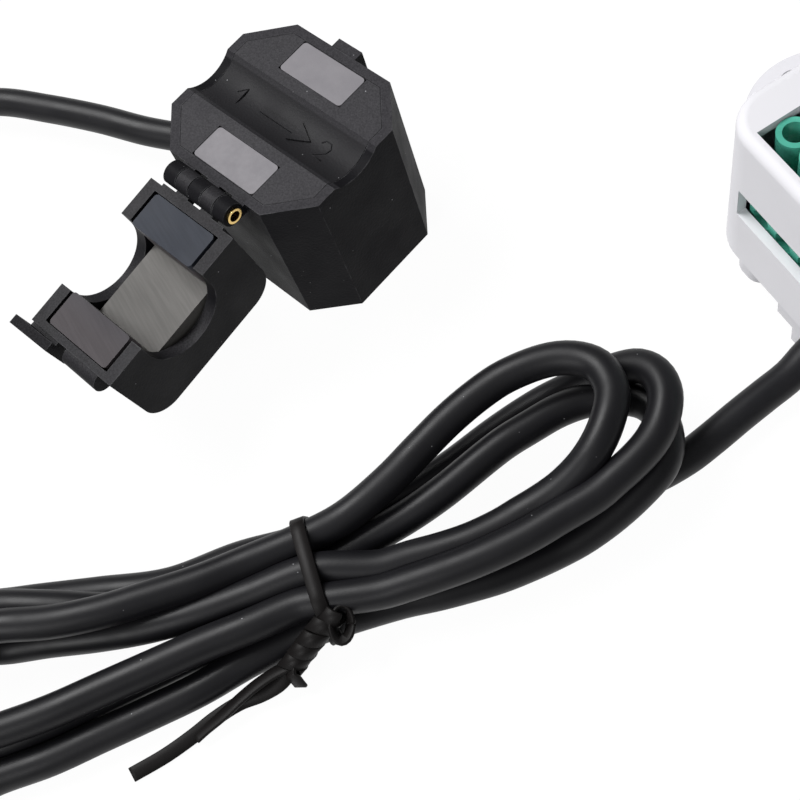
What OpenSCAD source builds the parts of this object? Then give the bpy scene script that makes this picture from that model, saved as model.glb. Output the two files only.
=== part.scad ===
// Smart energy monitor: a wired module, a folded cord and a split-core current clamp.
// Millimetres, +Z up, the table at z = 0. The clamp lies open, its jaw laid back.

/* [Module] */
// Length of the module along X, at its top
mod_l = 41; // [34:1:60]
// Width of the module along Y, at its top
mod_w = 40; // [36:1:60]
// Height of the module's top above the table
mod_top = 27; // [24:0.5:36]
// Height of the cover's lower edge above the table
mod_foot = 5.4; // [4.6:0.1:8]
// Spread of the cover's foot beyond its top, on each side
mod_draft = 0.8; // [0:0.1:2]
// Wall of the cover
mod_wall = 1.2; // [0.8:0.1:2.4]
// Plan radius of the cover's corners
mod_corner = 4.8; // [3:0.1:8]
// Rounding of the cover's top edge
mod_edge = 1.2; // [0.4:0.1:2.6]
// Radius of an ear's round end
ear_r = 10; // [7:0.5:12]
// Reach of an ear beyond the module's side
ear_reach = 15.7; // [13:0.1:24]
// Thickness of an ear
ear_t = 3; // [2:0.2:4]
// Width of the screw slot in an ear
slot_w = 3.6; // [3.2:0.1:5.5]
// Length of the screw slot in an ear, end to end
slot_l = 8; // [6:0.5:9]
// Material left between the slot and the ear's tip
slot_rim = 1.7; // [1.2:0.1:4]

/* [Terminals] */
// Number of terminals
poles = 8; // [2:1:8]
// Distance from one terminal to the next
pitch = 3.81; // [3.4:0.01:4.2]
// Depth of the terminal block along X
block_l = 8.6; // [7.6:0.1:12]
// Clearance between the block and the module's wall
block_set = 0.1; // [0.1:0.1:3]
// Outer radius of a terminal's screw tower
tower_r = 1.95; // [1.9:0.05:2.2]
// Radius of a wire hole in the block's front
hole_r = 1.25; // [0.8:0.05:1.5]
// Height of the wire holes' lower edge above the board
wire_rise = 1.3; // [1:0.05:3]
// Height of the slot in the cover's wall
wire_h = 4.4; // [3:0.1:6]
// Rise of a wire cage when its screw is tightened
cage_rise = 1.6; // [0.8:0.1:2]

/* [Clamp] */
// Length of the fixed half along the conductor
cl_l = 25; // [22:0.5:34]
// Width of the fixed half across the conductor
cl_w = 22; // [19:0.5:28]
// Height of the fixed half, table to parting face
cl_h = 22.2; // [20:0.2:34]
// Corner cut of the eight-sided plan
cl_cut = 4.8; // [3:0.1:6]
// Wall of the fixed half
cl_wall = 1.2; // [0.8:0.1:2]
// Window between the pole faces
pole_gap = 10.1; // [8:0.1:12]
// Length of a pole face along the conductor
pole_l = 10.1; // [8:0.1:11.5]
// Depth of the conductor groove in the face plate
groove_d = 1.4; // [0.8:0.1:1.8]
// Width of the jaw along the conductor
jaw_l = 14.2; // [12:0.1:18]
// Depth of the jaw from its face to its back
jaw_d = 12.5; // [11:0.1:16]
// Turn of the jaw from closed to laid open
jaw_open = 188; // [120:1:190]

/* [Cord] */
// Diameter of the cord
cord_d = 3.9; // [3:0.1:4.2]
// Step between strands at the tied waist
strand_step = 4.5; // [4.4:0.1:6]
// Step between the two layers of strands at the waist
layer_step = 3.85; // [3.8:0.05:5]
// Height of the lower strands at the waist
waist_z = 3; // [3:0.1:5]
// Width of the tie's band
tie_w = 2; // [1:0.1:4]
// Thickness of the tie's band
tie_t = 0.7; // [0.4:0.1:0.9]

/* [Hidden] */
$fn = 48;
fit = 0.1;
run_fit = 0.05;
eps = 0.2;
cut = 1;

// Places of the three groups on the table
mod_x = 37.27;
mod_y = -15.78;
clamp_x = -20.05;
clamp_y = 37.71;
clamp_turn = -73;
hank_x = -50.91;
hank_y = -4.69;
hank_turn = -13.5;

// Module inside
base_t = 1.6;
floor_top = mod_foot + base_t;
board_z = floor_top + 2.4;
board_t = 1.6;
board_top = board_z + board_t;
roof_z = mod_top - mod_wall;
in_l = mod_l - 2 * mod_wall;
in_w = mod_w - 2 * mod_wall;
in_corner = mod_corner - mod_wall;
board_l = in_l - 1.2;
board_w = in_w - 1.2;
post_r = 2.5;
post_front = 17;
post_back = 3.8;
post_side = 3.3;
post_x = [-mod_l / 2 + post_front, in_l / 2 - post_back];
post_y = in_w / 2 - post_side;
comp_gap = 0.8;
screw_r = 1.1;
screw_head_r = 2.1;
screw_head_h = 1.4;
drive_l = 2 * screw_head_r - 1.8;
drive_w = 0.5;
drive_d = 0.7;
screw_len = 11;
exit_y = 1.5;
exit_z = 2.5;
exit_x = -mod_l / 2 - 0.5;
cord_in = 6.5;
relief_w = 7;
relief_step = 12.4;
foot_l = 6;
foot_w = 5;
foot_in = 0.5;
foot_side = 2.5;
ear_in = 7;
ear_root = mod_w / 2 - ear_in;
lead_r = 0.6;
lead_gap = 0.8;

// Terminals
hole_z = board_top + wire_rise + hole_r;
slot_z = hole_z - 0.2;
cage_l = 4.6;
cage_w = 3;
cage_wall = 0.5;
cage_foot = 0.8;
cage_hole = 2 * hole_r + 0.4;
cage_head = 1.4;
cage_z = hole_z - hole_r - cage_foot - run_fit;
cage_h = cage_foot + cage_hole + cage_head;
shelf_z = cage_z + cage_h + cage_rise + eps;
house_top = shelf_z + 0.6;
block_top = mod_top - 0.5;
well_d = 3.4;
head_h = 1.35;
head_r = 1.2;
head_z = block_top - well_d - head_h;
shank_r = 0.95;
tongue_t = 0.5;
tongue_l = 5.5;
tongue_w = 1.6;
tongue_z = cage_z + cage_foot + cage_hole - tongue_t - fit;
tip_z = tongue_z + tongue_t + eps;
block_x = -mod_l / 2 + mod_wall - spread(house_top) + block_set;
block_w = (poles - 1) * pitch + 2 * tower_r;
block_back = block_x + block_l;
pole_in = 3.7;
pole_x = block_x + pole_in;
well_x = cage_l / 2 + 0.3;
leg = 0.8;
leg_x = 3.1;
recess_rim = 1.5;
recess_back = pole_x + tower_r + 0.4;
wire_side = 0.4;
lead_x = pole_x + leg_x + 1.5;
relief_l = lead_x - exit_x + 3;

// Button and light
btn_in = 6;
btn_x = mod_l / 2 - btn_in;
btn_y = 6;
btn_r = 2.6;
btn_proud = 0.4;
btn_travel = 0.5;
stem_r = 1.2;
switch_w = 5.2;
switch_h = 3.4;
plunger_z = board_top + switch_h + 0.7;
led_y = 0.5;
pipe_r = 1.25;

// Parts on the board, set between the block, the posts and the walls
conv_l = 11;
conv_w = 11;
conv_h = 9;
cap_r = 3.6;
cap_h = 11;
disc_r = 3.6;
disc_t = 3;
fuse_r = 1.2;
fuse_l = 5.6;
chip_l = 4;
chip_w = 4.5;
chip_t = 1.6;
conv_y = -(post_y - post_r - comp_gap - conv_w / 2);
disc_x = block_back + comp_gap + disc_t / 2;
cap_x = in_l / 2 - comp_gap - cap_r;
conv_x = (disc_x + disc_t / 2 + cap_x - cap_r) / 2;
fuse_x = block_back + comp_gap + fuse_r;
fuse_y = conv_y + disc_r + comp_gap + fuse_l / 2;
chip_x = block_back + comp_gap + chip_l / 2;
chip_y = fuse_y + fuse_l / 2 + comp_gap + chip_w / 2;
radio_x0 = post_x[0] + post_r + comp_gap;
radio_x1 = btn_x - switch_w / 2 - comp_gap;
radio_l = radio_x1 - radio_x0;
radio_w = 13;
radio_t = 0.8;
radio_x = (radio_x0 + radio_x1) / 2;
radio_y = board_w / 2 - comp_gap - radio_w / 2;
shield_l = radio_l - 1.4;
shield_w = 9;
shield_h = 2.2;
light_l = 2.4;
light_w = 1.6;
light_h = 1;

// Clamp inside
core_fit = 0.15;
pole_w = (cl_w - 2 * cl_wall - 2 * core_fit - pole_gap) / 2;
pole_round = 0.5;
plate_t = 2.6;
plate_in = cl_wall + run_fit;
ledge = 1;
cl_floor = 1.4;
groove_r = 5;
groove_z = cl_h + groove_r - groove_d;
yoke_z = 5.5;
yoke_t = 4.6;
spool_t = 0.8;
spool_in = 0.1;
wind_t = 2.1;
flange_t = 0.7;
lead_z = 5;
lead_hole_r = cord_d / 2 + 0.2;
cord_stop = -cl_l / 2 + 1.7;

// Hinge and jaw, the jaw described shut: u from the hinge line, n above the face
hinge_y = -cl_w / 2 - 1.8;
knuckle_r = 1.5;
knuckle_n = 5;
knuckle_l = 2.08;
knuckle_gap = 0.1;
pin_r = 1;
pin_bore = 0.7;
pin_l = knuckle_n * knuckle_l + 0.5;
face_gap = 0.1;
jaw_u0 = 2.1;
web_clear = 0.25;
web_n = 3;
jaw_mid = -hinge_y;
jaw_u1 = 2 * jaw_mid - jaw_u0;
jaw_round = 3.5;
jaw_back = 1.4;
jaw_fit = 0.45;
pad_t = 0.4;
pad_edge = 1.05;
pad_side = 2.15;
jaw_yoke = jaw_d - jaw_back - pad_t - pole_w;
core_top = jaw_yoke + pole_w;
window_r = pole_gap / 2 + 0.25;
window_low = 1.6;
lip_t = 1.2;
lip_gap = 0.2;
lip_u = jaw_mid + cl_w / 2 + lip_gap;
lip_l = 4.6;
lip_x0 = -jaw_l / 2;
lip_x1 = lip_x0 + lip_l;
lip_rise = 2.6;
catch_x0 = -2;
catch_x1 = 1.8;
catch_t = 1.4;
catch_h = 4;
bump_x0 = -1;
bump_x1 = 4.7;

// Cord routes: the hank's loops come from a formula, the runs from points
top_z = waist_z + layer_step;
strand = [
  [-strand_step / 2, waist_z], [strand_step / 2, waist_z],
  [-1.5 * strand_step, waist_z], [1.5 * strand_step, waist_z],
  [-strand_step, top_z], [strand_step, top_z], [0, top_z]
];
// Upper strand, lower strand, side, reach, half width, shift, apex height, rise power
bends = [
  [1, 0, -1, 47.2, 3.1, 4.2, 2.1, 4],
  [1, 2, 1, 49.3, 5.6, 3.8, 7.2, 3.5],
  [3, 2, -1, 53.6, 10.6, 6.2, 2.2, 4],
  [3, 4, 1, 49.9, 5.3, 5.9, 11.6, 3],
  [5, 4, -1, 49.8, 6.3, 3.5, 6.9, 4],
  [5, 6, 1, 43.4, 6.2, 6.5, 13.6, 1]
];
bend_rings = 12;
bend_peak = 3.079;
hank_in = 16;
hank_out = -12;
tube_sides = 8;
hank_sides = 6;
// Round points of the runs, module run on the table, clamp run in the hank's own axes
lay_z = cord_d / 2 + run_fit;
module_way = [
  [6.7, -14.9, lay_z], [-1.3, -16.1, lay_z], [-10.3, -16.2, lay_z], [-19.3, -14.8, 2.2], [-27.3, -12.9, 2.7]
];
clamp_way = [
  [-20, 1.2, 6.9], [-27, 3, 8.5], [-34, 7.5, 11.8], [-40, 14, 12], [-44.5, 22, 9],
  [-47, 31, 4.5], [-48, 41, lay_z], [-49, 52, lay_z], [-49.5, 64, lay_z], [-47, 76, 2.2],
  [-40, 86, 2.8], [-29, 89, 3.6]
];
clamp_end = [[-49, -14.8, 5], [-36.5, -9.2, 5], [-24, -3.6, 5], [-17, -0.4, 5]];
tie_p = 6.7;
tie_side = 1.5 * strand_step + cord_d / 2 + 0.4;
tie_low = 0.1;
tie_top = top_z + cord_d / 2 + 1.6;
tie_knot_z = 4.5;
tail_way = [
  [6.4, -11.4, 3.6], [2.5, -10.9, 2.2], [0.5, -12.4, 1.5], [-2.6, -11.6, 1.2],
  [-6, -12.4, 1], [-10.8, -13, 1], [-19.5, -13.2, 1]
];
tail_d = 1.6;

// Colours
white = [0.93, 0.93, 0.95];
cream = [0.86, 0.86, 0.88];
green = [0.10, 0.42, 0.33];
board_green = [0.05, 0.25, 0.15];
steel = [0.75, 0.75, 0.76];
tin = [0.66, 0.68, 0.70];
black = [0.06, 0.06, 0.07];
charcoal = [0.12, 0.12, 0.13];
ferrite = [0.36, 0.36, 0.39];
copper = [0.72, 0.42, 0.20];
brass = [0.80, 0.60, 0.22];
blue = [0.15, 0.25, 0.55];
amber = [0.80, 0.55, 0.15];
clear = [0.85, 0.90, 0.92];
grey = [0.35, 0.33, 0.32];

// Frames
module in_module() {
  translate([mod_x, mod_y, 0]) children();
}

module in_clamp() {
  translate([clamp_x, clamp_y, 0]) rotate([0, 0, clamp_turn]) children();
}

module in_jaw() {
  in_clamp() translate([0, hinge_y, cl_h]) rotate([jaw_open, 0, 0]) children();
}

module in_hank() {
  translate([hank_x, hank_y, 0]) rotate([0, 0, hank_turn]) children();
}

function turned(p, x, y, a) =
  [x + p[0] * cos(a) - p[1] * sin(a), y + p[0] * sin(a) + p[1] * cos(a), p[2]];
function from_hank(p) = turned(p, hank_x, hank_y, hank_turn);
function from_clamp(p) = turned(p, clamp_x, clamp_y, clamp_turn);
function from_module(p) = [p[0] + mod_x, p[1] + mod_y, p[2]];

// Plain shapes
module along_x(len) {
  rotate([90, 0, 90]) linear_extrude(len, center = true) children();
}

module along_y(len) {
  rotate([90, 0, 0]) linear_extrude(len, center = true) children();
}

module round_plan(l, w, r) {
  square([l - 2 * r, w], center = true);
  square([l, w - 2 * r], center = true);
  for (sx = [-1, 1], sy = [-1, 1])
    translate([sx * (l / 2 - r), sy * (w / 2 - r)]) circle(r);
}

// Spread of the cover's side at height z
function spread(z) = mod_draft * (mod_top - z) / (mod_top - mod_foot);

// Half of a section whose side leans in by t over its height, its top edge rounded by e
module lean_half(w, h, e, t) {
  slope = sqrt(h * h + t * t);
  x = w / 2 + (t * e - e * slope) / h;
  if (e > 0) {
    polygon([[0, 0], [w / 2 + t, 0], [x + e * h / slope, h - e + e * t / slope], [x, h], [0, h]]);
    translate([x, h - e]) circle(e);
  } else {
    polygon([[0, 0], [w / 2 + t, 0], [w / 2, h], [0, h]]);
  }
}

module lean_whole(w, h, e, t) {
  lean_half(w, h, e, t);
  mirror([1, 0]) lean_half(w, h, e, t);
}

// Box with round plan corners, leaning sides and a round top edge
module lean_box(l, w, h, r, e, t) {
  along_x(l - 2 * r) lean_whole(w, h, e, t);
  along_y(w - 2 * r) lean_whole(l, h, e, t);
  for (sx = [-1, 1], sy = [-1, 1])
    translate([sx * (l / 2 - r), sy * (w / 2 - r), 0]) rotate_extrude() lean_half(2 * r, h, e, t);
}

module eight_plan(l, w, c) {
  polygon([
    [l / 2, w / 2 - c], [l / 2 - c, w / 2], [-l / 2 + c, w / 2], [-l / 2, w / 2 - c],
    [-l / 2, -w / 2 + c], [-l / 2 + c, -w / 2], [l / 2 - c, -w / 2], [l / 2, -w / 2 + c]
  ]);
}

// The eight-sided plan moved in by t all round
module eight_inset(t) {
  eight_plan(cl_l - 2 * t, cl_w - 2 * t, cl_cut - t * (2 - sqrt(2)));
}

module each_post() {
  for (x = post_x, s = [-1, 1]) translate([x, s * post_y, 0]) children();
}

function pole_y(k) = (k - (poles + 1) / 2) * pitch;

module each_pole() {
  for (k = [1 : poles]) translate([pole_x, pole_y(k), 0]) children();
}

module upright(l, w, h) {
  translate([-l / 2, -w / 2, 0]) cube([l, w, h]);
}

// Tubes swept along points
function unit(v) = v / norm(v);
function heading(way, i) = unit(way[min(i + 1, len(way) - 1)] - way[max(i - 1, 0)]);
function ring(way, i, r, n) =
  let (t = heading(way, i), s = unit(cross(t, [0, 0, 1])), v = cross(s, t))
  [for (k = [0 : n - 1]) way[i] + r * (s * cos(360 * k / n) + v * sin(360 * k / n))];
function skin(m, n) = [
  for (i = [0 : m - 2], k = [0 : n - 1])
    let (a = i * n + k, b = i * n + (k + 1) % n)
    each [[a, b, b + n], [a, b + n, a + n]]
];

module tube(way, d, n) {
  m = len(way);
  polyhedron(
    points = [for (i = [0 : m - 1]) each ring(way, i, d / 2, n)],
    faces = concat(
      [[for (k = [n - 1 : -1 : 0]) k]],
      skin(m, n),
      [[for (k = [0 : n - 1]) (m - 1) * n + k]]
    )
  );
}

// One bend of the hank: an arc in angle t from the upper strand (90) to the lower (-90)
function bend_point(b, t) =
  let (c = cos(t), s = sin(t), up = strand[b[0]], lo = strand[b[1]], w = (1 - s) / 2)
  [
    b[2] * b[3] * c,
    (up[0] + lo[0]) / 2 + (up[0] - lo[0]) / 2 * s + b[5] * c * c + b[4] * bend_peak * s * pow(c, 3),
    up[1] + (lo[1] - up[1]) * w * w * (3 - 2 * w) + (b[6] - (up[1] + lo[1]) / 2) * pow(max(c, 0), b[7])
  ];
function bend_way(b, skip) =
  [for (i = [skip : bend_rings - skip]) bend_point(b, b[2] * (90 - 180 * i / bend_rings))];

hank_way = concat(
  [[hank_in, strand[0][0], waist_z], [hank_in - cord_d, strand[0][0], waist_z]],
  [for (k = [0 : len(bends) - 1]) each bend_way(bends[k], k % 2)],
  [[0, 0, top_z], [hank_out + cord_d, 0, top_z], [hank_out, 0, top_z]]
);

module_route = concat(
  [from_module([exit_x + cord_in, exit_y, exit_z]), from_module([exit_x - cord_d, exit_y, exit_z])],
  module_way,
  [from_hank([hank_in + cord_d, strand[0][0], waist_z]), from_hank(hank_way[0])]
);
clamp_route = concat(
  [from_hank(hank_way[len(hank_way) - 1]), from_hank([hank_out - cord_d, 0, top_z])],
  [for (p = clamp_way) from_hank(p)],
  [for (p = clamp_end) from_clamp(p)],
  [from_clamp([-cl_l / 2 - 1, 0, lead_z]), from_clamp([cord_stop, 0, lead_z])]
);

// Least gap of the hank to itself, between points set along its centreline
fine_n = 3;
hank_fine = [
  for (i = [0 : len(hank_way) - 2], j = [0 : fine_n - 1])
    hank_way[i] + (hank_way[i + 1] - hank_way[i]) * j / fine_n
];
function sums(v, i = 0, s = 0) = i >= len(v) ? [] : concat([s], sums(v, i + 1, s + v[i]));
hank_steps = [for (i = [0 : len(hank_fine) - 2]) norm(hank_fine[i + 1] - hank_fine[i])];
hank_at = sums(hank_steps);
apart = 22;
hank_gap = min([
  for (i = [0 : len(hank_steps) - 1], j = [i + 1 : 1 : len(hank_steps) - 1])
    if (hank_at[j] - hank_at[i] > apart) norm(hank_fine[i] - hank_fine[j])
]) - cord_d;
function way_length(w) =
  len(w) < 2 ? 0 : sums([for (i = [0 : len(w) - 2]) norm(w[i + 1] - w[i]), 0])[len(w) - 1];
echo(hank_rings = len(hank_way), hank_gap = hank_gap, hank_length = way_length(hank_way));
echo(module_run = way_length(module_route), clamp_run = way_length(clamp_route));

// Module pieces
module module_cover() {
  high = mod_top - mod_foot;
  room = roof_z - mod_foot + cut;
  top = spread(roof_z);
  color(white) in_module() {
    difference() {
      translate([0, 0, mod_foot]) lean_box(mod_l, mod_w, high, mod_corner, mod_edge, mod_draft);
      translate([0, 0, mod_foot - cut])
        lean_box(in_l + 2 * top, in_w + 2 * top, room, in_corner + top, 0, mod_draft * room / high);
      translate([-mod_l / 2 + recess_rim, -block_w / 2 - fit, roof_z - cut])
        cube([recess_back + mod_l / 2 - recess_rim, block_w + 2 * fit, mod_wall + 2 * cut]);
      translate([-mod_l / 2 - mod_draft - cut, -block_w / 2 - wire_side, slot_z])
        cube([mod_wall + mod_draft + cut, block_w + 2 * wire_side, wire_h]);
      translate([btn_x, btn_y, roof_z - cut]) cylinder(h = mod_wall + 2 * cut, r = btn_r + 0.08);
      translate([btn_x, led_y, roof_z - cut]) cylinder(h = mod_wall + 2 * cut, r = pipe_r + run_fit);
    }
    each_post() difference() {
      translate([0, 0, board_top]) cylinder(h = roof_z - board_top + eps, r = post_r);
      translate([0, 0, board_top - cut]) cylinder(h = screw_len - 2, r = screw_r + run_fit);
    }
  }
}

module ear() {
  tip = mod_w / 2 + ear_reach;
  difference() {
    union() {
      translate([-ear_r, ear_root, 0]) cube([2 * ear_r, tip - ear_r - ear_root, ear_t]);
      translate([0, tip - ear_r, 0]) cylinder(h = ear_t, r = ear_r);
    }
    translate([0, tip - slot_rim - slot_l / 2, -cut]) linear_extrude(ear_t + 2 * cut) {
      square([slot_w, slot_l - slot_w], center = true);
      for (s = [-1, 1]) translate([0, s * (slot_l - slot_w) / 2]) circle(slot_w / 2);
    }
  }
}

module floor_plan() {
  side = spread(floor_top) - fit;
  round_plan(in_l + 2 * side, in_w + 2 * side, in_corner + side);
}

// What stands under the floor: feet and the roots of the ears
module under_plan() {
  for (sx = [-1, 1], sy = [-1, 1])
    translate([sx * (mod_l / 2 - foot_in - foot_l / 2), sy * (mod_w / 2 - foot_side - foot_w / 2)])
      round_plan(foot_l, foot_w, 2);
  for (s = [-1, 1])
    translate([-ear_r, s * (ear_root + in_w / 2 - 1) / 2 - (in_w / 2 - 1 - ear_root) / 2])
      square([2 * ear_r, in_w / 2 - 1 - ear_root]);
}

module relief_plan(w) {
  translate([exit_x, exit_y - w / 2]) square([relief_l, w]);
}

module module_base() {
  color(cream) in_module() difference() {
    union() {
      translate([0, 0, mod_foot]) linear_extrude(base_t) floor_plan();
      each_post() translate([0, 0, mod_foot]) cylinder(h = board_z - mod_foot, r = post_r);
      linear_extrude(mod_foot) {
        under_plan();
        relief_plan(relief_w);
      }
      translate([0, 0, mod_foot / 2]) linear_extrude(mod_foot / 2) relief_plan(relief_step);
      translate([0, 0, mod_foot - eps]) linear_extrude(2 * eps) intersection() {
        floor_plan();
        union() {
          under_plan();
          relief_plan(relief_step);
        }
      }
      ear();
      mirror([0, 1, 0]) ear();
    }
    each_post() {
      translate([0, 0, mod_foot - cut]) cylinder(h = board_z, r = screw_r + fit);
      translate([0, 0, mod_foot - cut]) cylinder(h = screw_head_h + cut, r = screw_head_r + fit);
    }
    translate([exit_x - cut, exit_y, exit_z]) rotate([0, 90, 0])
      cylinder(h = lead_x - exit_x + lead_r + fit + cut, r = cord_d / 2 + fit);
    translate([lead_x, exit_y, exit_z]) cylinder(h = floor_top, r = cord_d / 2 + fit);
  }
}

module case_screws() {
  color(steel) in_module() each_post() translate([0, 0, mod_foot]) difference() {
    union() {
      cylinder(h = screw_head_h, r = screw_head_r);
      cylinder(h = screw_len, r = screw_r);
    }
    translate([0, 0, -cut]) linear_extrude(drive_d + cut) {
      square([drive_l, drive_w], center = true);
      square([drive_w, drive_l], center = true);
    }
  }
}

module main_board() {
  color(board_green) in_module() difference() {
    translate([0, 0, board_z]) linear_extrude(board_t) round_plan(board_l, board_w, in_corner);
    each_post() translate([0, 0, board_z - cut]) cylinder(h = board_t + 2 * cut, r = screw_r + fit);
    each_pole() translate([leg_x, 0, board_z - cut]) cylinder(h = board_t + 2 * cut, r = leg / 2 + 0.3);
    for (s = [-1, 1])
      translate([lead_x, exit_y + s * lead_gap, board_z - cut])
        cylinder(h = board_t + 2 * cut, r = lead_r + run_fit);
  }
}

module terminal_block() {
  room = cage_w / 2 + fit;
  color(green) in_module() difference() {
    union() {
      translate([block_x, -block_w / 2, board_top]) cube([block_l, block_w, house_top - board_top]);
      each_pole() translate([0, 0, board_top]) cylinder(h = block_top - board_top, r = tower_r);
    }
    each_pole() {
      translate([0, 0, board_top - cut]) upright(2 * well_x, 2 * room, shelf_z - board_top + cut);
      translate([-pole_in - cut, 0, hole_z]) rotate([0, 90, 0])
        cylinder(h = pole_in - well_x + cut + eps, r = hole_r);
      translate([0, 0, shelf_z - cut]) cylinder(h = block_top, r = shank_r + fit);
      translate([0, 0, head_z - run_fit]) cylinder(h = block_top, r = head_r + fit);
      translate([leg_x, 0, board_top - cut])
        upright(leg + 2 * eps, leg + 1, tongue_z + tongue_t + fit - board_top + cut);
    }
  }
}

module terminal_pins() {
  color(tin) in_module() each_pole() {
    translate([leg_x + leg / 2 - tongue_l, -tongue_w / 2, tongue_z]) cube([tongue_l, tongue_w, tongue_t]);
    translate([leg_x, 0, board_z - 1.4]) upright(leg, leg, tongue_z - board_z + 1.4 + tongue_t);
  }
}

module terminal_screw(k) {
  slit = 0.5;
  if (k <= poles) color(steel) in_module() translate([pole_x, pole_y(k), 0]) difference() {
    union() {
      translate([0, 0, head_z]) cylinder(h = head_h, r = head_r);
      translate([0, 0, tip_z]) cylinder(h = head_z - tip_z + eps, r = shank_r);
    }
    translate([0, 0, head_z + head_h - slit]) upright(2 * head_r + 2 * cut, slit, slit + cut);
  }
}

module wire_cage(k) {
  if (k <= poles) color(tin) in_module() translate([pole_x, pole_y(k), cage_z]) difference() {
    upright(cage_l, cage_w, cage_h);
    translate([0, 0, cage_foot]) upright(cage_l + 2 * cut, cage_w - 2 * cage_wall, cage_hole);
    translate([0, 0, cage_h - cage_head - cage_rise - eps])
      cylinder(h = cage_head + cage_rise + eps + cut, r = shank_r + run_fit);
  }
}

// Parts on the board
module radio_board() {
  color(board_green) in_module() translate([radio_x, radio_y, board_top]) upright(radio_l, radio_w, radio_t);
}

module radio_shield() {
  color(tin) in_module() translate([radio_x, radio_y - comp_gap, board_top + radio_t])
    upright(shield_l, shield_w, shield_h);
}

module metering_chip() {
  color(black) in_module() translate([chip_x, chip_y, board_top]) upright(chip_l, chip_w, chip_t);
}

module supply_converter() {
  color(amber) in_module() translate([conv_x, conv_y, board_top]) upright(conv_l, conv_w, conv_h);
}

module storage_capacitor() {
  color(blue) in_module() translate([cap_x, conv_y, board_top]) cylinder(h = cap_h, r = cap_r);
}

module surge_disc() {
  color(blue) in_module() translate([disc_x, conv_y, board_top + disc_r]) rotate([0, 90, 0])
    cylinder(h = disc_t, r = disc_r, center = true);
}

module fuse() {
  color(cream) in_module() translate([fuse_x, fuse_y, board_top + fuse_r]) rotate([90, 0, 0])
    cylinder(h = fuse_l, r = fuse_r, center = true);
}

module status_light() {
  color(clear) in_module() translate([btn_x, led_y, board_top]) upright(light_l, light_w, light_h);
}

module light_pipe() {
  pipe_z = board_top + light_h + eps;
  color(clear) in_module() translate([btn_x, led_y, pipe_z]) cylinder(h = mod_top - pipe_z, r = pipe_r);
}

module press_switch() {
  color(black) in_module() translate([btn_x, btn_y, board_top]) difference() {
    upright(switch_w, switch_w, switch_h);
    translate([0, 0, switch_h - 1.8]) cylinder(h = 1.8 + cut, r = stem_r + fit);
  }
}

module switch_plunger() {
  color(white) in_module() translate([btn_x, btn_y, plunger_z - 1.7]) cylinder(h = 1.7, r = stem_r);
}

module push_button() {
  flange_h = 1;
  color(cream) in_module() translate([btn_x, btn_y, 0]) {
    translate([0, 0, roof_z - fit - flange_h])
      cylinder(h = mod_top + btn_proud - roof_z + fit + flange_h, r = btn_r);
    translate([0, 0, roof_z - fit - flange_h]) cylinder(h = flange_h, r = btn_r + 0.8);
    translate([0, 0, plunger_z]) cylinder(h = roof_z - fit - plunger_z, r = stem_r);
  }
}

module module_leads() {
  color(copper) in_module() for (s = [-1, 1]) translate([0, exit_y + s * lead_gap, 0]) {
    translate([exit_x + cord_in, 0, exit_z]) rotate([0, 90, 0])
      cylinder(h = lead_x - exit_x - cord_in, r = lead_r);
    translate([lead_x, 0, exit_z]) sphere(lead_r);
    translate([lead_x, 0, exit_z]) cylinder(h = board_top - exit_z, r = lead_r);
  }
}

// Clamp pieces, fixed half
module groove_cut() {
  translate([0, 0, groove_z]) along_x(cl_l + 2 * cut) circle(groove_r);
}

module knuckles(first, web_low, web_side) {
  for (k = [first : 2 : knuckle_n - 1]) translate([(k - (knuckle_n - 1) / 2) * knuckle_l, 0, 0]) {
    along_x(knuckle_l - knuckle_gap) circle(knuckle_r);
    along_x(knuckle_l - knuckle_gap) translate([0, web_low]) square([web_side, knuckle_r - face_gap]);
  }
}

module clamp_body() {
  color(charcoal) in_clamp() difference() {
    union() {
      linear_extrude(cl_h) eight_plan(cl_l, cl_w, cl_cut);
      translate([0, hinge_y, cl_h]) knuckles(0, -knuckle_r, -hinge_y - cl_w / 2 + eps);
      translate([catch_x0, cl_w / 2 - eps, cl_h - catch_h - eps])
        cube([catch_x1 - catch_x0, catch_t + eps, catch_h]);
    }
    translate([0, 0, cl_h - plate_t]) linear_extrude(plate_t + cut) eight_inset(cl_wall);
    translate([0, 0, cl_floor]) linear_extrude(cl_h) intersection() {
      eight_inset(cl_wall);
      square([cl_l - 2 * cl_wall - 2 * ledge, cl_w], center = true);
    }
    groove_cut();
    translate([-cl_l / 2 - cut, 0, lead_z]) rotate([0, 90, 0]) cylinder(h = 5, r = lead_hole_r);
    translate([0, hinge_y, cl_h]) along_x(pin_l + 2 * cut) circle(pin_r + 0.03);
  }
}

module face_plate() {
  mark = 0.25;
  color(charcoal) in_clamp() {
    difference() {
      translate([0, 0, cl_h - plate_t]) linear_extrude(plate_t) difference() {
        eight_inset(plate_in);
        for (s = [-1, 1]) translate([0, s * (pole_gap + pole_w) / 2])
          square([pole_l + 2 * fit, pole_w + 2 * run_fit], center = true);
      }
      groove_cut();
    }
    intersection() {
      translate([0, 0, groove_z]) along_x(cl_l) difference() {
        circle(groove_r + run_fit);
        circle(groove_r - mark);
      }
      translate([0, 0, cl_h - plate_t]) linear_extrude(plate_t)
        polygon([[-3.5, -0.35], [2.1, -0.35], [2.1, -1.4], [4.7, 0], [2.1, 1.4], [2.1, 0.35], [-3.5, 0.35]]);
    }
  }
}

module u_core(low, high, yoke_low, yoke_high) {
  for (s = [-1, 1]) translate([0, s * (pole_gap + pole_w) / 2, low])
    linear_extrude(high - low) round_plan(pole_l, pole_w, pole_round);
  translate([0, 0, yoke_low]) upright(pole_l, pole_gap + 2 * pole_w, yoke_high - yoke_low);
}

module body_core() {
  color(ferrite) in_clamp() u_core(yoke_z, cl_h, yoke_z, yoke_z + yoke_t);
}

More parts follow.
